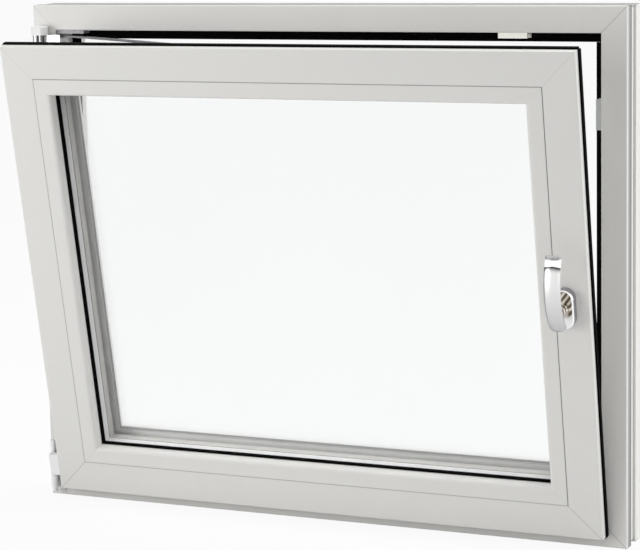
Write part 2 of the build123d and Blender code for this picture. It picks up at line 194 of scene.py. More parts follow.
def object_place(tree, moved=(0, 0, 0), turned_by=(0, 0, 0), stretch=(1, 1, 1)):
    """Object coordinates, moved and turned into a piece's own frame."""
    place = tree.nodes.new("ShaderNodeTexCoord")
    mapping = tree.nodes.new("ShaderNodeMapping")
    mapping.inputs["Location"].default_value = moved
    mapping.inputs["Rotation"].default_value = turned_by
    mapping.inputs["Scale"].default_value = stretch
    tree.links.new(place.outputs["Object"], mapping.inputs["Vector"])
    return mapping.outputs["Vector"]


def axes(tree, vector):
    """A vector's parts along X, Y and Z."""
    split = tree.nodes.new("ShaderNodeSeparateXYZ")
    tree.links.new(vector, split.inputs[0])
    return tuple(split.outputs)


def noise(tree, scale, detail, place):
    """A noise pattern at a place."""
    pattern = tree.nodes.new("ShaderNodeTexNoise")
    pattern.inputs["Detail"].default_value = detail
    if isinstance(scale, bpy.types.NodeSocket):
        tree.links.new(scale, pattern.inputs["Scale"])
    else:
        pattern.inputs["Scale"].default_value = scale
    tree.links.new(place, pattern.inputs["Vector"])
    return pattern.outputs["Fac"]


# A Mix node has sockets for each kind of value, and these are the ones for colours
MIX_FIRST = 6
MIX_SECOND = 7
MIX_RESULT = 2


def colour_mix(tree, factor, first, second, way="MIX"):
    """A blend of two colours, given as values or sockets."""
    mix = tree.nodes.new("ShaderNodeMix")
    mix.data_type = "RGBA"
    mix.blend_type = way
    operands = (("Factor", factor), (MIX_FIRST, first), (MIX_SECOND, second))
    for socket, operand in operands:
        if isinstance(operand, bpy.types.NodeSocket):
            tree.links.new(operand, mix.inputs[socket])
        else:
            mix.inputs[socket].default_value = operand
    return mix.outputs[MIX_RESULT]


def product(tree, first, *others):
    """Sockets or numbers multiplied together."""
    for other in others:
        first = maths(tree, "MULTIPLY", first, other)
    return first


def bump(tree, height, distance):
    """The normal of a raised pattern."""
    node = tree.nodes.new("ShaderNodeBump")
    tree.links.new(height, node.inputs["Height"])
    if isinstance(distance, bpy.types.NodeSocket):
        tree.links.new(distance, node.inputs["Distance"])
    else:
        node.inputs["Distance"].default_value = distance
    return node.outputs["Normal"]


skin, skin_in, skin_out = shader_group(
    "plastic_skin",
    (
        ("Colour", COLOUR, (0.80, 0.79, 0.765, 1)),
        ("Cloud Colour", COLOUR, (0.77, 0.765, 0.745, 1)),
        ("Line Colour", COLOUR, (0.14, 0.14, 0.135, 1)),
        ("Line", NUMBER, 0.0),
        ("Peel Scale", NUMBER, 700.0),
        ("Peel Height", NUMBER, 0.02 * MM),
        ("Gloss", NUMBER, 0.34),
    ),
    (("Colour", COLOUR), ("Roughness", NUMBER), ("Normal", VECTOR)),
)
cloud_scale = 5
cloud_detail = 3
cloud_dulling = 0.12
peel_detail = 2
skin_place = object_place(skin)
clouds = noise(skin, cloud_scale, cloud_detail, skin_place)
clouded = colour_mix(skin, clouds, skin_in.outputs["Colour"], skin_in.outputs["Cloud Colour"])
lined = colour_mix(skin, skin_in.outputs["Line"], clouded, skin_in.outputs["Line Colour"])
skin.links.new(lined, skin_out.inputs["Colour"])
skin_gloss = maths(skin, "MULTIPLY_ADD", clouds, cloud_dulling, skin_in.outputs["Gloss"])
skin.links.new(skin_gloss, skin_out.inputs["Roughness"])
peel = noise(skin, skin_in.outputs["Peel Scale"], peel_detail, skin_place)
skin.links.new(bump(skin, peel, skin_in.outputs["Peel Height"]), skin_out.inputs["Normal"])

NO_SEAM = -1.0
SEAM_AT_EVERY_DEPTH = 1.0
lines, lines_in, lines_out = shader_group(
    "corner_and_seam_lines",
    (
        ("Place", VECTOR, (0, 0, 0)),
        ("Half Width", NUMBER, 0.5),
        ("Half Height", NUMBER, 0.4),
        ("Weld Width", NUMBER, 0.8 * MM),
        ("Weld Strength", NUMBER, 0.7),
        ("Right Weld", NUMBER, 0.0),
        ("Seam Inset", NUMBER, 0.05),
        ("Seam Width", NUMBER, 0.8 * MM),
        ("Seam Depth", NUMBER, NO_SEAM),
        ("Seam Strength", NUMBER, 1.0),
    ),
    (("Line", NUMBER),),
)
# Strength of the weld and seam lines on each side: painted shade, stronger where the light leaves
# the joint darker
bottom_weld_shade = 1
top_weld_shade = 0.4
seam_core = 1.3
left_seam_shade = 0.3
right_seam_shade = 0.92
bottom_seam_shade = 0.36
top_seam_shade = 0.66
place_x, place_y, place_z = axes(lines, lines_in.outputs["Place"])
across = maths(lines, "ABSOLUTE", place_x)
upward = maths(lines, "ABSOLUTE", place_z)
side_inset = maths(lines, "SUBTRACT", lines_in.outputs["Half Width"], across)
end_inset = maths(lines, "SUBTRACT", lines_in.outputs["Half Height"], upward)
off_mitre = maths(lines, "ABSOLUTE", maths(lines, "SUBTRACT", side_inset, end_inset))
weld_fade = maths(lines, "DIVIDE", off_mitre, lines_in.outputs["Weld Width"])
weld = maths(lines, "SUBTRACT", 1, weld_fade, clamp=True)
on_right = maths(lines, "GREATER_THAN", place_x, 0)
on_top = maths(lines, "GREATER_THAN", place_z, 0)
level_share = ranged(lines, on_top, bottom_weld_shade, top_weld_shade)
right_share = maths(lines, "MULTIPLY", on_right, lines_in.outputs["Right Weld"])
weld_share = maths(lines, "ADD", level_share, right_share, clamp=True)
weld_line = product(lines, weld, lines_in.outputs["Weld Strength"], weld_share)
nearest_inset = maths(lines, "MINIMUM", side_inset, end_inset)
from_seam = maths(lines, "SUBTRACT", nearest_inset, lines_in.outputs["Seam Inset"])
off_seam = maths(lines, "ABSOLUTE", from_seam)
seam_fade = maths(lines, "DIVIDE", off_seam, lines_in.outputs["Seam Width"])
seam = maths(lines, "SUBTRACT", seam_core, seam_fade, clamp=True)
on_room_side = maths(lines, "LESS_THAN", place_y, lines_in.outputs["Seam Depth"])
on_side = maths(lines, "LESS_THAN", side_inset, end_inset)
on_end = maths(lines, "SUBTRACT", 1, on_side)
side_share = maths(lines, "MULTIPLY", on_side, ranged(lines, on_right, left_seam_shade, right_seam_shade))
end_strength = ranged(lines, on_top, bottom_seam_shade, top_seam_shade)
seam_strength = maths(lines, "MULTIPLY_ADD", on_end, end_strength, side_share)
seam_part = product(lines, seam, on_room_side, seam_strength)
seam_line = maths(lines, "MULTIPLY", seam_part, lines_in.outputs["Seam Strength"], clamp=True)
lines.links.new(maths(lines, "MAXIMUM", weld_line, seam_line), lines_out.inputs["Line"])


def coated(name, group, values):
    """A material whose colour, gloss and normal come from a shader group with its own values."""
    material = new_material(name)
    tree = material.node_tree
    coat = tree.nodes.new("ShaderNodeGroup")
    coat.name = "coat"
    coat.node_tree = group
    for key, value in values.items():
        coat.inputs[key].default_value = value
    for key, socket in (("Colour", "Base Color"), ("Roughness", "Roughness"), ("Normal", "Normal")):
        tree.links.new(coat.outputs[key], shader_of(material).inputs[socket])
    return material


def plastic(name, skin_values, line_values=None, moved=(0, 0, 0), turned_by=(0, 0, 0)):
    """A plastic with the shared skin and, where it is asked for, a ring's weld and seam lines."""
    material = coated(name, skin, skin_values)
    if line_values:
        tree = material.node_tree
        marks = tree.nodes.new("ShaderNodeGroup")
        marks.node_tree = lines
        for key, value in line_values.items():
            marks.inputs[key].default_value = value
        tree.links.new(object_place(tree, moved, turned_by), marks.inputs["Place"])
        tree.links.new(marks.outputs["Line"], tree.nodes["coat"].inputs["Line"])
    return material


def dress(material, *names):
    """Gives CAD nodes their material."""
    for name in names:
        node = frame["nodes"][name]
        for place in node.material_slots:
            place.material = material
        if not node.material_slots:
            node.data.materials.append(material)


def node_box(name):
    """A CAD node's lowest and highest corners."""
    return [Vector(corner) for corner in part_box(name)]


frame_low, frame_high = node_box("frame_left_jamb")
rail_low, rail_high = node_box("frame_top_rail")
frame_width = rail_high.x - rail_low.x
frame_height = frame_high.z - frame_low.z
frame_moved = (0, 0, -frame_height / 2)
frame_lines = {
    "Half Width": frame_width / 2,
    "Half Height": frame_height / 2,
    "Weld Strength": 0.9,
    "Right Weld": 0.6,
}
frame_plastic = plastic("frame_plastic", {}, frame_lines, moved=frame_moved)
dress(frame_plastic, "frame_top_rail", "frame_bottom_rail", "frame_left_jamb", "frame_right_jamb")


# Outer flank of the frame: a stepped recess for the wall fixings runs round it. Painted shade
# darkens the plastic in front of the step, and behind the recess at the top and bottom, where the
# recess leaves dark lines of shade
def between(tree, value, low, high):
    """1 where a value lies between two limits."""
    above = maths(tree, "GREATER_THAN", value, low)
    below = maths(tree, "LESS_THAN", value, high)
    return maths(tree, "MULTIPLY", above, below)


flank_shade_grey = (0.05, 0.05, 0.055, 1)
flank_skin = 0.3 * MM
recess_step = frame_low.y + 24 * MM
step_margin = 0.2 * MM
shade_reach = 19 * MM
least_side_shade = 0.52
most_side_shade = 0.92
end_shade = 0.96
recess_back = frame_low.y + 50 * MM
back_shade_limit = frame_low.y + 74 * MM
back_shade_strength = 0.9
flank_tree = frame_plastic.node_tree
flank_x, flank_y, flank_z = axes(flank_tree, object_place(flank_tree, moved=frame_moved))
flank_across = maths(flank_tree, "ABSOLUTE", flank_x)
flank_upward = maths(flank_tree, "ABSOLUTE", flank_z)
flank_side = maths(flank_tree, "GREATER_THAN", flank_across, frame_width / 2 - flank_skin)
flank_end = maths(flank_tree, "GREATER_THAN", flank_upward, frame_height / 2 - flank_skin)
on_flank = maths(flank_tree, "MAXIMUM", flank_side, flank_end)
to_step = maths(flank_tree, "SUBTRACT", flank_y, recess_step - shade_reach)
shade_grade = maths(flank_tree, "DIVIDE", to_step, shade_reach, clamp=True)
before_step = maths(flank_tree, "LESS_THAN", flank_y, recess_step + step_margin)
side_shade = ranged(flank_tree, shade_grade, least_side_shade, most_side_shade)
even_shade = maths(flank_tree, "MAXIMUM", side_shade, product(flank_tree, flank_end, end_shade))
shade_start = maths(flank_tree, "GREATER_THAN", shade_grade, 0)
front_shade = product(flank_tree, on_flank, before_step, even_shade, shade_start)
past_recess = between(flank_tree, flank_y, recess_back, back_shade_limit)
back_shade = product(flank_tree, past_recess, flank_end, back_shade_strength)
flank_shade = maths(flank_tree, "MAXIMUM", front_shade, back_shade)
frame_colour = flank_tree.nodes["coat"].outputs["Colour"]
flank_colour = colour_mix(flank_tree, flank_shade, frame_colour, flank_shade_grey)
flank_tree.links.new(flank_colour, shader_of(frame_plastic).inputs["Base Color"])

# Sash: the same plastic in a deeper profile. Its own frame has its origin in the middle of the
# middle pane and is turned by the tilt, so welds and seams follow the tilted piece
outward = Vector(frame["record"]["behaviour"]["joints"][0]["axis"])
tilt = math.atan2(-outward.z, -outward.y)
pane_low, pane_high = node_box("middle_pane")
pane_middle = (pane_low + pane_high) / 2
sash_frame = Matrix.Translation(pane_middle) @ Matrix.Rotation(tilt, 4, "X")
to_sash = sash_frame.inverted()


def own_box(name):
    """A sash node's lowest and highest corners in the sash's own frame."""
    points = [to_sash @ vertex.co for vertex in frame["nodes"][name].data.vertices]
    low = Vector([min(point[axis] for point in points) for axis in range(3)])
    high = Vector([max(point[axis] for point in points) for axis in range(3)])
    return low, high


sash_low, sash_high = own_box("sash_left_stile")
bead_low = own_box("glazing_bead_left")[0]
sash_half_width = -sash_low.x
seam_reach = 1.5 * MM
sash_lines = {
    "Half Width": sash_half_width,
    "Half Height": (sash_high.z - sash_low.z) / 2,
    "Seam Inset": bead_low.x - sash_low.x,
    "Seam Width": 0.9 * MM,
    "Seam Depth": sash_low.y + seam_reach,
}
sash_moved = to_sash.to_translation()
sash_turn = (-tilt, 0, 0)
sash_plastic = plastic("sash_plastic", {}, sash_lines, sash_moved, sash_turn)
dress(sash_plastic, "sash_top_rail", "sash_bottom_rail", "sash_left_stile", "sash_right_stile")

# Glazing beads: thinner plastic strips, clipped into the sash from the room side, cut at 45
# degrees but not welded, so that their corners show only a fine joint
bead_skin = {"Colour": (0.81, 0.80, 0.775, 1), "Gloss": 0.36}
bead_lines = {**sash_lines, "Weld Strength": 0.2}
bead_plastic = plastic("bead_plastic", bead_skin, bead_lines, sash_moved, sash_turn)
dress(bead_plastic, *[f"glazing_bead_{side}" for side in ("top", "bottom", "left", "right")])

# Seals: black rubber strips round the stop, the sash's lip and the room face of the glass, with
# the fine lengthwise drawing marks of an extruded section. The outer seal of the glass is pale
# and has one dark line along it
rubber_sheen = 0.02
dark_line_half_width = 411 * MM
rubber_skin = {
    "Colour": (0.001, 0.001, 0.001, 1),
    "Cloud Colour": (0.003, 0.003, 0.003, 1),
    "Peel Scale": 1600.0,
    "Peel Height": 0.04 * MM,
    "Gloss": 0.6,
}
rubber = plastic("seal_rubber", rubber_skin)
shader_of(rubber).inputs["Specular IOR Level"].default_value = rubber_sheen
dress(rubber, "frame_seal", "sash_seal", "glazing_seal_inner")
pale_rubber_skin = {
    **rubber_skin,
    "Colour": (0.90, 0.90, 0.88, 1),
    "Cloud Colour": (0.82, 0.82, 0.80, 1),
}
outer_seal_lines = {
    **sash_lines,
    "Weld Strength": 0.0,
    "Seam Inset": sash_half_width - dark_line_half_width,
    "Seam Width": 3.2 * MM,
    "Seam Depth": SEAM_AT_EVERY_DEPTH,
    "Seam Strength": 3.0,
}
pale_rubber = plastic(
    "outer_seal_rubber", pale_rubber_skin, outer_seal_lines, sash_moved, sash_turn
)
dress(pale_rubber, "glazing_seal_outer")


# Lip of the bead: soft black rubber along the foot of the beads, which presses on the inner pane.
# It stands a little to the right and up, so that it shows at the left and bottom of the glass
# and hides behind the beads at the top and right
def lofted(name, rows, closed):
    """A skin over rows of points, closed into a ring or with a cap at each end."""
    build = bmesh.new()
    loops = [[build.verts.new(point) for point in row] for row in rows]
    spans = len(loops) if closed else len(loops) - 1
    for span in range(spans):
        first = loops[span]
        second = loops[(span + 1) % len(loops)]
        for point in range(len(first)):
            after = (point + 1) % len(first)
            build.faces.new((first[point], second[point], second[after], first[after]))
    if not closed:
        build.faces.new(loops[0])
        build.faces.new(loops[-1])
    bmesh.ops.recalc_face_normals(build, faces=build.faces)
    mesh = bpy.data.meshes.new(name)
    build.to_mesh(mesh)
    build.free()
    return mesh


def keep_piece(name, mesh, material):
    """Makes a finished mesh a piece of the window, with its material."""
    mesh.materials.clear()
    mesh.materials.append(material)
    piece = bpy.data.objects.new(name, mesh)
    bpy.context.scene.collection.objects.link(piece)
    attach(piece, "window")


lip_half_width = 424.5 * MM
lip_half_height = 325.5 * MM
lip_reach = 2.9 * MM
lip_face = -30.5 * MM
lip_foot = -24.9 * MM
lip_round = 0.8 * MM
lip_shift_right = 0.4 * MM
lip_shift_up = 1.1 * MM
lip_section = (
    (0, lip_face),
    (lip_reach - lip_round, lip_face),
    (lip_reach, lip_face + lip_round),
    (lip_reach, lip_foot),
    (0, lip_foot),
)
lip_place = sash_frame @ Matrix.Translation((lip_shift_right, 0, lip_shift_up))
lip_rows = []
for turn_x, turn_z in ((-1, -1), (1, -1), (1, 1), (-1, 1)):
    lip_row = []
    for inset, depth in lip_section:
        lip_x = turn_x * (lip_half_width - inset)
        lip_z = turn_z * (lip_half_height - inset)
        lip_row.append(lip_place @ Vector((lip_x, depth, lip_z)))
    lip_rows.append(lip_row)
keep_piece("bead_seal_lip", lofted("bead_lip", lip_rows, closed=True), rubber)

# Lip of the stop: a flat black rubber tongue of the frame's seal, which reaches into the opening.
# It is built on the lock side only, where it shows between the sash and the jamb
seal_low, seal_high = node_box("frame_seal")
stop_inset = 62 * MM
stop_lip_root = 1 * MM
stop_lip_reach = 7 * MM
stop_lip_round = 0.8 * MM
stop_lip_slope = 0.3 * MM
stop_lip_gap = 0.2 * MM
stop_x = frame_width / 2 - stop_inset
root_x = stop_x + stop_lip_root
tip_x = stop_x - stop_lip_reach
stop_lip_section = (
    (root_x, seal_low.y),
    (tip_x + stop_lip_round, seal_low.y),
    (tip_x, seal_low.y + stop_lip_round),
    (tip_x, seal_high.y - stop_lip_slope),
    (root_x, seal_high.y),
)
stop_lip_foot = stop_inset + stop_lip_gap
stop_lip_rows = []
for height in (stop_lip_foot, frame_height - stop_lip_foot):
    stop_lip_rows.append([(x, y, height) for x, y in stop_lip_section])
keep_piece("stop_seal_lip", lofted("stop_lip", stop_lip_rows, closed=False), rubber)

# Glass: three clear float panes with a breath of haze, bedded between the seals. Lamps shine
# through them, because the glass lets shadow rays pass
glass_clear = (0.992, 0.995, 0.994, 1)
glass_hazy = (0.985, 0.988, 0.988, 1)
glass_haze_scale = 3
glass_haze_detail = 2
glass_ior = 1.5
glass = new_material("clear_glass")
glass_tree = glass.node_tree
glass_shader = shader_of(glass)
glass_haze = noise(glass_tree, glass_haze_scale, glass_haze_detail, object_place(glass_tree))
glass_colour = colour_mix(glass_tree, glass_haze, glass_clear, glass_hazy)
glass_tree.links.new(glass_colour, glass_shader.inputs["Base Color"])
glass_shader.inputs["Roughness"].default_value = 0
glass_shader.inputs["IOR"].default_value = glass_ior
glass_shader.inputs["Transmission Weight"].default_value = 1
lamp_path = glass_tree.nodes.new("ShaderNodeLightPath")
clear_way = glass_tree.nodes.new("ShaderNodeBsdfTransparent")
blended_surface(glass_tree, lamp_path.outputs["Is Shadow Ray"], glass_shader, clear_way)
dress(glass, "inner_pane", "middle_pane", "outer_pane")


# Spacers: two dull grey metal bars, ribbed along their length, which hold the panes apart round
# their edge. The one on the room side is paler
def wave(tree, along, rate, contrast, level):
    """A wave along a value, round a level and cut off at 0 and 1."""
    rise = maths(tree, "SINE", maths(tree, "MULTIPLY", along, rate))
    return maths(tree, "MULTIPLY_ADD", rise, contrast, level, clamp=True)


rib_pitch = 4 * MM
rib_contrast = 0.5
rib_level = 0.5
rib_relief = 0.1 * MM
speck_scale = 120
speck_detail = 3
speck_strength = 0.2
speck_grey = (0.3, 0.3, 0.3, 1)
room_bar_groove = (0.84, 0.84, 0.83, 1)
room_bar_crest = (0.66, 0.66, 0.66, 1)
outer_bar_groove = (0.56, 0.54, 0.51, 1)
outer_bar_crest = (0.40, 0.385, 0.36, 1)
spacer_roughness = 0.45
spacer = new_material("spacer_bar")
spacer_tree = spacer.node_tree
spacer_place = object_place(spacer_tree, sash_moved, sash_turn)
spacer_y = axes(spacer_tree, spacer_place)[1]
outdoors = maths(spacer_tree, "GREATER_THAN", spacer_y, 0)
ribs = wave(spacer_tree, spacer_y, 2 * math.pi / rib_pitch, rib_contrast, rib_level)
specks = noise(spacer_tree, speck_scale, speck_detail, spacer_place)
room_bar = colour_mix(spacer_tree, ribs, room_bar_groove, room_bar_crest)
outer_bar = colour_mix(spacer_tree, ribs, outer_bar_groove, outer_bar_crest)
bar_colour = colour_mix(spacer_tree, outdoors, room_bar, outer_bar)
speck_share = maths(spacer_tree, "MULTIPLY", specks, speck_strength)
worn_bar = colour_mix(spacer_tree, speck_share, bar_colour, speck_grey)
spacer_tree.links.new(worn_bar, shader_of(spacer).inputs["Base Color"])
spacer_tree.links.new(bump(spacer_tree, ribs, rib_relief), shader_of(spacer).inputs["Normal"])
shader_of(spacer).inputs["Roughness"].default_value = spacer_roughness
dress(spacer, "pane_spacer")

# Metal fittings: zinc-plated pressings, with a fine grain along them and a spangled, slightly
# patchy plating. Each takes its own colour, grain and gloss from one group
metal_skin, metal_in, metal_out = shader_group(
    "plated_metal",
    (
        ("Colour", COLOUR, (0.62, 0.62, 0.63, 1)),
        ("Patch Colour", COLOUR, (0.48, 0.48, 0.50, 1)),
        ("Patch Scale", NUMBER, 60.0),
        ("Grain Scale", NUMBER, 900.0),
        ("Grain Height", NUMBER, 0.03 * MM),
        ("Roughness", NUMBER, 0.3),
    ),
    (("Colour", COLOUR), ("Roughness", NUMBER), ("Normal", VECTOR)),
)
grain_stretch = (0.04, 1, 1)
grain_detail = 2
patch_detail = 3
patch_dulling = 0.15
grain_place = object_place(metal_skin, stretch=grain_stretch)
patches = noise(metal_skin, metal_in.outputs["Patch Scale"], patch_detail, object_place(metal_skin))
metal_colours = (metal_in.outputs["Colour"], metal_in.outputs["Patch Colour"])
metal_skin.links.new(colour_mix(metal_skin, patches, *metal_colours), metal_out.inputs["Colour"])
metal_gloss = metal_in.outputs["Roughness"]
patch_gloss = maths(metal_skin, "MULTIPLY_ADD", patches, patch_dulling, metal_gloss)
metal_skin.links.new(patch_gloss, metal_out.inputs["Roughness"])
grain = noise(metal_skin, metal_in.outputs["Grain Scale"], grain_detail, grain_place)
grain_normal = bump(metal_skin, grain, metal_in.outputs["Grain Height"])
metal_skin.links.new(grain_normal, metal_out.inputs["Normal"])


def metal(name, values):
    """A bare or plated metal with the shared grain and patches."""
    material = coated(name, metal_skin, values)
    shader_of(material).inputs["Metallic"].default_value = 1
    return material


zinc = metal("zinc_steel", {})
dress(zinc, "lock_plate_top", "lock_plate_side", "lock_cams", "stay_guide")
dull_zinc_finish = {
    "Colour": (0.22, 0.22, 0.225, 1),
    "Patch Colour": (0.14, 0.14, 0.15, 1),
    "Roughness": 0.42,
}
dress(metal("dull_zinc", dull_zinc_finish), "stay_arm", "stay_bracket")

# Keeps: die-cast channels screwed into the frame's rebate, which the locking cams run into. The
# one at the top is paler and warmer than those at the side
top_keep_finish = {
    "Colour": (0.88, 0.86, 0.82, 1),
    "Patch Colour": (0.80, 0.78, 0.74, 1),
    "Roughness": 0.4,
}
dress(metal("keep_metal", top_keep_finish), "keep_top")
side_keep_finish = {
    "Colour": (0.58, 0.60, 0.615, 1),
    "Patch Colour": (0.47, 0.485, 0.50, 1),
    "Roughness": 0.4,
}
dress(metal("side_keep_metal", side_keep_finish), "keep_side_upper", "keep_side_lower")


# Top hinge: a bright barrel and strap on a leaf, a plastic cap, and a cast block that carries the
# near end of the stay. The dark and light bands that round bright metal would mirror are painted
# in the base colour of the barrel and the strap
def facing(tree, direction):
    """How far the surface faces a direction."""
    place = tree.nodes.new("ShaderNodeTexCoord")
    dot = tree.nodes.new("ShaderNodeVectorMath")
    dot.operation = "DOT_PRODUCT"
    tree.links.new(place.outputs["Normal"], dot.inputs[0])
    dot.inputs[1].default_value = direction
    return dot.outputs["Value"]


def paint(material, colour):
    """Lays a colour over a metal, which keeps the patches of its plating."""
    tree = material.node_tree
    plating = tree.nodes["coat"].outputs["Colour"]
    both = colour_mix(tree, 1, colour, plating, way="MULTIPLY")
    tree.links.new(both, shader_of(material).inputs["Base Color"])


def paint_bands(material, dark, bright):
    """Paints bands of dark and light along a round piece."""
    sweep = (1, 0, 0.7)
    rate = 7.5
    contrast = 1.2
    level = 0.9
    tree = material.node_tree
    bands = wave(tree, facing(tree, sweep), rate, contrast, level)
    paint(material, colour_mix(tree, bands, dark, bright))


barrel_finish = {
    "Colour": (1, 1, 1, 1),
    "Patch Colour": (0.86, 0.86, 0.87, 1),
    "Roughness": 0.16,
}
barrel_metal = metal("bright_hinge", barrel_finish)
paint_bands(barrel_metal, dark=(0.25, 0.25, 0.26, 1), bright=(0.97, 0.97, 0.97, 1))
dress(barrel_metal, "stay_bearing")
cap_skin = {
    "Colour": (0.88, 0.88, 0.87, 1),
    "Cloud Colour": (0.85, 0.85, 0.84, 1),
    "Gloss": 0.28,
}
dress(plastic("cover_plastic", cap_skin), "stay_bearing_cap")
block_finish = {
    "Colour": (0.86, 0.86, 0.86, 1),
    "Patch Colour": (0.24, 0.24, 0.245, 1),
    "Patch Scale": 420.0,
    "Grain Height": 0.1 * MM,
    "Roughness": 0.45,
}
dress(metal("cast_block", block_finish), "stay_pivot_block")
strap_finish = {
    "Colour": (0.98, 0.98, 0.98, 1),
    "Patch Colour": (0.42, 0.42, 0.425, 1),
    "Patch Scale": 300.0,
    "Grain Height": 0.1 * MM,
    "Roughness": 0.24,
}
strap_metal = metal("cast_strap", strap_finish)
paint_bands(strap_metal, dark=(0.14, 0.14, 0.15, 1), bright=(0.9, 0.9, 0.9, 1))
dress(strap_metal, "stay_strap")

# Corner hinge: a leaf on the jamb and a knuckle on the sash, which turn on a pin. Both have white
# plastic covers, and the pin has the same white here
hinge_cover_skin = {
    "Colour": (0.95, 0.95, 0.95, 1),
    "Cloud Colour": (0.92, 0.92, 0.92, 1),
    "Gloss": 0.3,
}
hinge_cover = plastic("corner_hinge_cover", hinge_cover_skin)
dress(hinge_cover, "corner_hinge_leaf", "corner_hinge_knuckle", "corner_hinge_pin")

# Screws: zinc-plated steel with a low round head and a cross recess. They hold the keeps, the
# hinge leaves, the stay's bracket and block, and the lock plates in the sash's groove
screw_tree = bpy.data.node_groups.new("screw_heads", "GeometryNodeTree")
screw_sockets = screw_tree.interface
screw_sockets.new_socket(name="Points", in_out="INPUT", socket_type="NodeSocketGeometry")
screw_measures = (("Head Radius", 2.6 * MM), ("Head Height", 1.1 * MM), ("Slot Width", 0.8 * MM))
screw_sizes = {}
for label, value in screw_measures:
    socket = screw_sockets.new_socket(name=label, in_out="INPUT", socket_type=NUMBER)
    socket.default_value = value
    screw_sizes[socket.identifier] = value
screw_sockets.new_socket(name="Screws", in_out="OUTPUT", socket_type="NodeSocketGeometry")
screw_in = screw_tree.nodes.new("NodeGroupInput")
screw_out = screw_tree.nodes.new("NodeGroupOutput")
head_radius = screw_in.outputs["Head Radius"]
head_height = screw_in.outputs["Head Height"]
slot_width = screw_in.outputs["Slot Width"]
head_sides = 24
crown_share = 0.68
slot_length_share = 1.1
slot_rise_share = 0.9
crown_radius = maths(screw_tree, "MULTIPLY", head_radius, crown_share)
slot_length = maths(screw_tree, "MULTIPLY", head_radius, slot_length_share)
slot_rise = maths(screw_tree, "MULTIPLY", head_height, slot_rise_share)
head = screw_tree.nodes.new("GeometryNodeMeshCone")
head.inputs["Vertices"].default_value = head_sides
screw_tree.links.new(head_radius, head.inputs["Radius Bottom"])
screw_tree.links.new(crown_radius, head.inputs["Radius Top"])
screw_tree.links.new(head_height, head.inputs["Depth"])
recess = screw_tree.nodes.new("GeometryNodeMeshBoolean")
recess.operation = "DIFFERENCE"
screw_tree.links.new(head.outputs["Mesh"], recess.inputs["Mesh 1"])
for slot_x, slot_y in ((slot_length, slot_width), (slot_width, slot_length)):
    size = screw_tree.nodes.new("ShaderNodeCombineXYZ")
    screw_tree.links.new(slot_x, size.inputs["X"])
    screw_tree.links.new(slot_y, size.inputs["Y"])
    screw_tree.links.new(head_height, size.inputs["Z"])
    cut = screw_tree.nodes.new("GeometryNodeMeshCube")
    screw_tree.links.new(size.outputs[0], cut.inputs["Size"])
    lift = screw_tree.nodes.new("ShaderNodeCombineXYZ")
    screw_tree.links.new(slot_rise, lift.inputs["Z"])
    raised = screw_tree.nodes.new("GeometryNodeTransform")
    screw_tree.links.new(cut.outputs["Mesh"], raised.inputs["Geometry"])
    screw_tree.links.new(lift.outputs[0], raised.inputs["Translation"])
    screw_tree.links.new(raised.outputs["Geometry"], recess.inputs["Mesh 2"])
way_out = screw_tree.nodes.new("GeometryNodeInputNamedAttribute")
way_out.data_type = "FLOAT_VECTOR"
way_out.inputs["Name"].default_value = "facing"
align = screw_tree.nodes.new("FunctionNodeAlignRotationToVector")
align.axis = "Z"
screw_tree.links.new(way_out.outputs["Attribute"], align.inputs["Vector"])
heads = screw_tree.nodes.new("GeometryNodeInstanceOnPoints")
screw_tree.links.new(screw_in.outputs["Points"], heads.inputs["Points"])
screw_tree.links.new(recess.outputs["Mesh"], heads.inputs["Instance"])
screw_tree.links.new(align.outputs["Rotation"], heads.inputs["Rotation"])
real_heads = screw_tree.nodes.new("GeometryNodeRealizeInstances")
screw_tree.links.new(heads.outputs["Instances"], real_heads.inputs["Geometry"])
screw_finish = screw_tree.nodes.new("GeometryNodeSetMaterial")
screw_finish.inputs["Material"].default_value = zinc
screw_tree.links.new(real_heads.outputs["Geometry"], screw_finish.inputs["Geometry"])
screw_tree.links.new(screw_finish.outputs["Geometry"], screw_out.inputs["Screws"])

DOWN = Vector((0, 0, -1))
TO_ROOM = Vector((0, -1, 0))
TO_LEFT = Vector((-1, 0, 0))
TO_RIGHT = Vector((1, 0, 0))
sash_upward = sash_frame.to_3x3() @ Vector((0, 0, 1))
keep_floor = 3 * MM
keep_screw_reach = 16 * MM
block_screw_reach = 12 * MM
leaf_thickness = 2.5 * MM
leaf_screw_reach = 10.4 * MM
leaf_screw_heights = {"stay_bearing": (0.25, 0.75), "corner_hinge_leaf": (0.25, 0.8)}
top_plate_screws = (-400, -250, 110, 250, 420)
side_plate_screws = (-345, -225, -75, 75, 225, 345)
screw_places = []
for along in (-keep_screw_reach, keep_screw_reach):
    low, high = node_box("keep_top")
    middle = (low + high) / 2
    screw_places.append((Vector((middle.x + along, middle.y, high.z - keep_floor)), DOWN))
    for keep in ("keep_side_upper", "keep_side_lower"):
        low, high = node_box(keep)
        middle = (low + high) / 2
        screw_places.append((Vector((high.x - keep_floor, middle.y, middle.z + along)), TO_LEFT))
    low, high = node_box("stay_bracket")
    middle = (low + high) / 2
    screw_places.append((Vector((middle.x + along, middle.y, low.z)), DOWN))
for along in (-block_screw_reach, block_screw_reach):
    low, high = node_box("stay_pivot_block")
    middle = (low + high) / 2
    screw_places.append((Vector((high.x, middle.y, middle.z + along)), TO_RIGHT))
for leaf, heights in leaf_screw_heights.items():
    low, high = node_box(leaf)
    for share in heights:
        for along in (-leaf_screw_reach, leaf_screw_reach):
            screw_x = (low.x + high.x) / 2 + along
            screw_z = low.z + share * (high.z - low.z)
            leaf_face = frame_low.y - leaf_thickness
            screw_places.append((Vector((screw_x, leaf_face, screw_z)), TO_ROOM))
plate_low, plate_high = own_box("lock_plate_top")
plate_y = (plate_low.y + plate_high.y) / 2
for along in top_plate_screws:
    own_place = Vector((along * MM, plate_y, plate_high.z))
    screw_places.append((sash_frame @ own_place, sash_upward))
side_plate_high = own_box("lock_plate_side")[1]
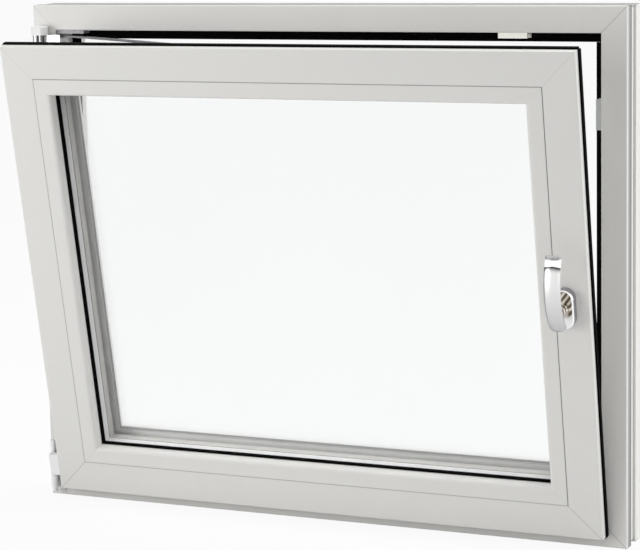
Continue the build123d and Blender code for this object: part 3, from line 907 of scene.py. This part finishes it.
for along in side_plate_screws:
    own_place = Vector((side_plate_high.x, plate_y, along * MM))
    screw_places.append((sash_frame @ own_place, TO_RIGHT))

screw_points = bpy.data.meshes.new("screw_points")
screw_points.from_pydata([place for place, direction in screw_places], [], [])
screw_facing = screw_points.attributes.new("facing", "FLOAT_VECTOR", "POINT")
for row, (place, direction) in zip(screw_facing.data, screw_places):
    row.vector = direction
screw_holder = bpy.data.objects.new("screw_holder", screw_points)
bpy.context.scene.collection.objects.link(screw_holder)
screw_modifier = screw_holder.modifiers.new("heads", "NODES")
screw_modifier.node_group = screw_tree
for identifier, value in screw_sizes.items():
    screw_modifier[identifier] = value
screw_graph = bpy.context.evaluated_depsgraph_get()
screw_mesh = bpy.data.meshes.new_from_object(screw_holder.evaluated_get(screw_graph))
bpy.data.objects.remove(screw_holder)
keep_piece("fitting_screws", screw_mesh, zinc)

# Handle: a cast lever with a satin silver finish, a polished bevel at its upper end and a
# polished neck, on an oval rosette with a bright rim and a darker flank. The shades, bands and
# streaks that the polish would mirror are painted in the base colour, fixed to the surface
satin_finish = {
    "Colour": (1, 1, 1, 1),
    "Patch Colour": (0.965, 0.965, 0.97, 1),
    "Patch Scale": 40.0,
    "Grain Scale": 1500.0,
    "Grain Height": 0.01 * MM,
    "Roughness": 0.24,
}
own_spindle = to_sash @ Vector(frame["record"]["behaviour"]["joints"][0]["pos_m"])
grip_low, grip_high = own_box("handle_grip")
grip = metal("satin_grip", satin_finish)
grip_tree = grip.node_tree
grip_x, grip_y, grip_z = axes(grip_tree, object_place(grip_tree, sash_moved, sash_turn))
across_axis = maths(grip_tree, "SUBTRACT", grip_x, own_spindle.x)
across_square = maths(grip_tree, "MULTIPLY", across_axis, across_axis)
grip_drop = maths(grip_tree, "SUBTRACT", grip_high.z, grip_z)
faces_room = facing(grip_tree, outward)
front_limit = 0.3
looks_front = maths(grip_tree, "GREATER_THAN", faces_room, front_limit)

# Satin part of the grip: the bowed bar that the hand takes. A painted reflection darkens it
# downwards, along its left rim and at its foot
fade_height = 85 * MM
low_reflection_grey = (0.55, 0.55, 0.55, 1)
high_reflection_grey = (0.84, 0.835, 0.83, 1)
rim_limits = (-0.97, -0.6)
rim_reflection_grey = (0.36, 0.36, 0.36, 1)
foot_height = 1.8 * MM
foot_reflection_grey = (0.30, 0.30, 0.30, 1)
grip_rise = maths(grip_tree, "SUBTRACT", grip_z, grip_low.z)
grip_grade = maths(grip_tree, "DIVIDE", grip_rise, fade_height, clamp=True)
grip_colour = colour_mix(grip_tree, grip_grade, low_reflection_grey, high_reflection_grey)
on_rim = between(grip_tree, facing(grip_tree, (1, 0, 0)), *rim_limits)
on_foot = maths(grip_tree, "LESS_THAN", grip_rise, foot_height)

# Upper end of the grip: a polished bevel with a curved lower edge. It is painted white as a
# highlight, with a painted grey reflection on the rim above it and a painted dark reflection in a
# band under its edge
bevel_height = 12.5 * MM
bevel_bow = 18.0
bevel_highlight_white = (1, 1, 1, 1)
band_height = 9 * MM
band_core = 1.2
band_falloff = 2.0
band_reflection_grey = (0.07, 0.07, 0.07, 1)
tip_height = 4 * MM
tip_reflection_grey = (0.34, 0.34, 0.34, 1)
bevel_edge = maths(grip_tree, "MULTIPLY_ADD", across_square, bevel_bow, bevel_height)
below_bevel = maths(grip_tree, "SUBTRACT", grip_drop, bevel_edge)
band_fade = maths(grip_tree, "DIVIDE", below_bevel, band_height)
band_share = maths(grip_tree, "SUBTRACT", band_core, band_fade, clamp=True)
band_soft = maths(grip_tree, "POWER", band_share, band_falloff)
reflected_band = product(grip_tree, band_soft, looks_front)
on_bevel = product(grip_tree, maths(grip_tree, "LESS_THAN", below_bevel, 0), looks_front)
on_tip = product(grip_tree, maths(grip_tree, "LESS_THAN", grip_drop, tip_height), looks_front)

# Neck of the grip: a polished round shank that turns in the rosette. It is painted with slanting
# streaks of reflection, warm and dark between bright ones
neck_radius = 12.6 * MM
neck_limit = 0.55
neck_slant = -1.1
neck_pitch = 11 * MM
neck_contrast = 1.1
neck_level = 0.55
neck_reflection_dark = (0.27, 0.215, 0.15, 1)
neck_reflection_bright = (0.97, 0.95, 0.92, 1)
above_axis = maths(grip_tree, "SUBTRACT", grip_z, own_spindle.z)
axis_square = maths(grip_tree, "MULTIPLY_ADD", above_axis, above_axis, across_square)
near_axis = maths(grip_tree, "LESS_THAN", axis_square, neck_radius**2)
turned_away = maths(grip_tree, "LESS_THAN", faces_room, neck_limit)
on_neck = product(grip_tree, near_axis, turned_away)
neck_way = maths(grip_tree, "MULTIPLY_ADD", grip_y, neck_slant, grip_z)
neck_reflection_streaks = wave(grip_tree, neck_way, 2 * math.pi / neck_pitch, neck_contrast, neck_level)
neck_colour = colour_mix(grip_tree, neck_reflection_streaks, neck_reflection_dark, neck_reflection_bright)
for mask, colour in (
    (on_rim, rim_reflection_grey),
    (on_foot, foot_reflection_grey),
    (reflected_band, band_reflection_grey),
    (on_bevel, bevel_highlight_white),
    (on_tip, tip_reflection_grey),
    (on_neck, neck_colour),
):
    grip_colour = colour_mix(grip_tree, mask, grip_colour, colour)
paint(grip, grip_colour)
dress(grip, "handle_grip")

# Rosette: an oval cast plate that covers the screws and the spindle. Its face is satin, with
# painted reflected streaks on all but its lower end, a painted highlight on its rounded rim and a
# painted dark reflection in mauve grey on its flank
face_limit = 0.97
flank_limit = 0.3
mirror_slant = -1.3
mirror_pitch = 13 * MM
mirror_contrast = 0.8
mirror_level = 0.45
mirror_dark = (0.16, 0.13, 0.09, 1)
mirror_bright = (0.86, 0.82, 0.75, 1)
mirror_drop = 14 * MM
mirror_fade = 7 * MM
face_grey = (0.82, 0.82, 0.82, 1)
rim_highlight_white = (1, 1, 1, 1)
flank_reflection_mauve = (0.44, 0.425, 0.455, 1)
rosette = metal("satin_rosette", satin_finish)
rosette_tree = rosette.node_tree
rosette_out = facing(rosette_tree, outward)
on_face = maths(rosette_tree, "GREATER_THAN", rosette_out, face_limit)
on_rosette_flank = maths(rosette_tree, "LESS_THAN", rosette_out, flank_limit)
rosette_place = object_place(rosette_tree, sash_moved, sash_turn)
rosette_x, rosette_y, rosette_z = axes(rosette_tree, rosette_place)
mirror_way = maths(rosette_tree, "MULTIPLY_ADD", rosette_x, mirror_slant, rosette_z)
mirror_rate = 2 * math.pi / mirror_pitch
mirror_streaks = wave(rosette_tree, mirror_way, mirror_rate, mirror_contrast, mirror_level)
mirrored = colour_mix(rosette_tree, mirror_streaks, mirror_dark, mirror_bright)
mirror_rise = maths(rosette_tree, "SUBTRACT", rosette_z, own_spindle.z - mirror_drop)
mirror_share = maths(rosette_tree, "DIVIDE", mirror_rise, mirror_fade, clamp=True)
face_colour = colour_mix(rosette_tree, mirror_share, face_grey, mirrored)
rosette_colour = colour_mix(rosette_tree, on_face, rim_highlight_white, face_colour)
rosette_colour = colour_mix(rosette_tree, on_rosette_flank, rosette_colour, flank_reflection_mauve)
paint(rosette, rosette_colour)
dress(rosette, "handle_rosette")
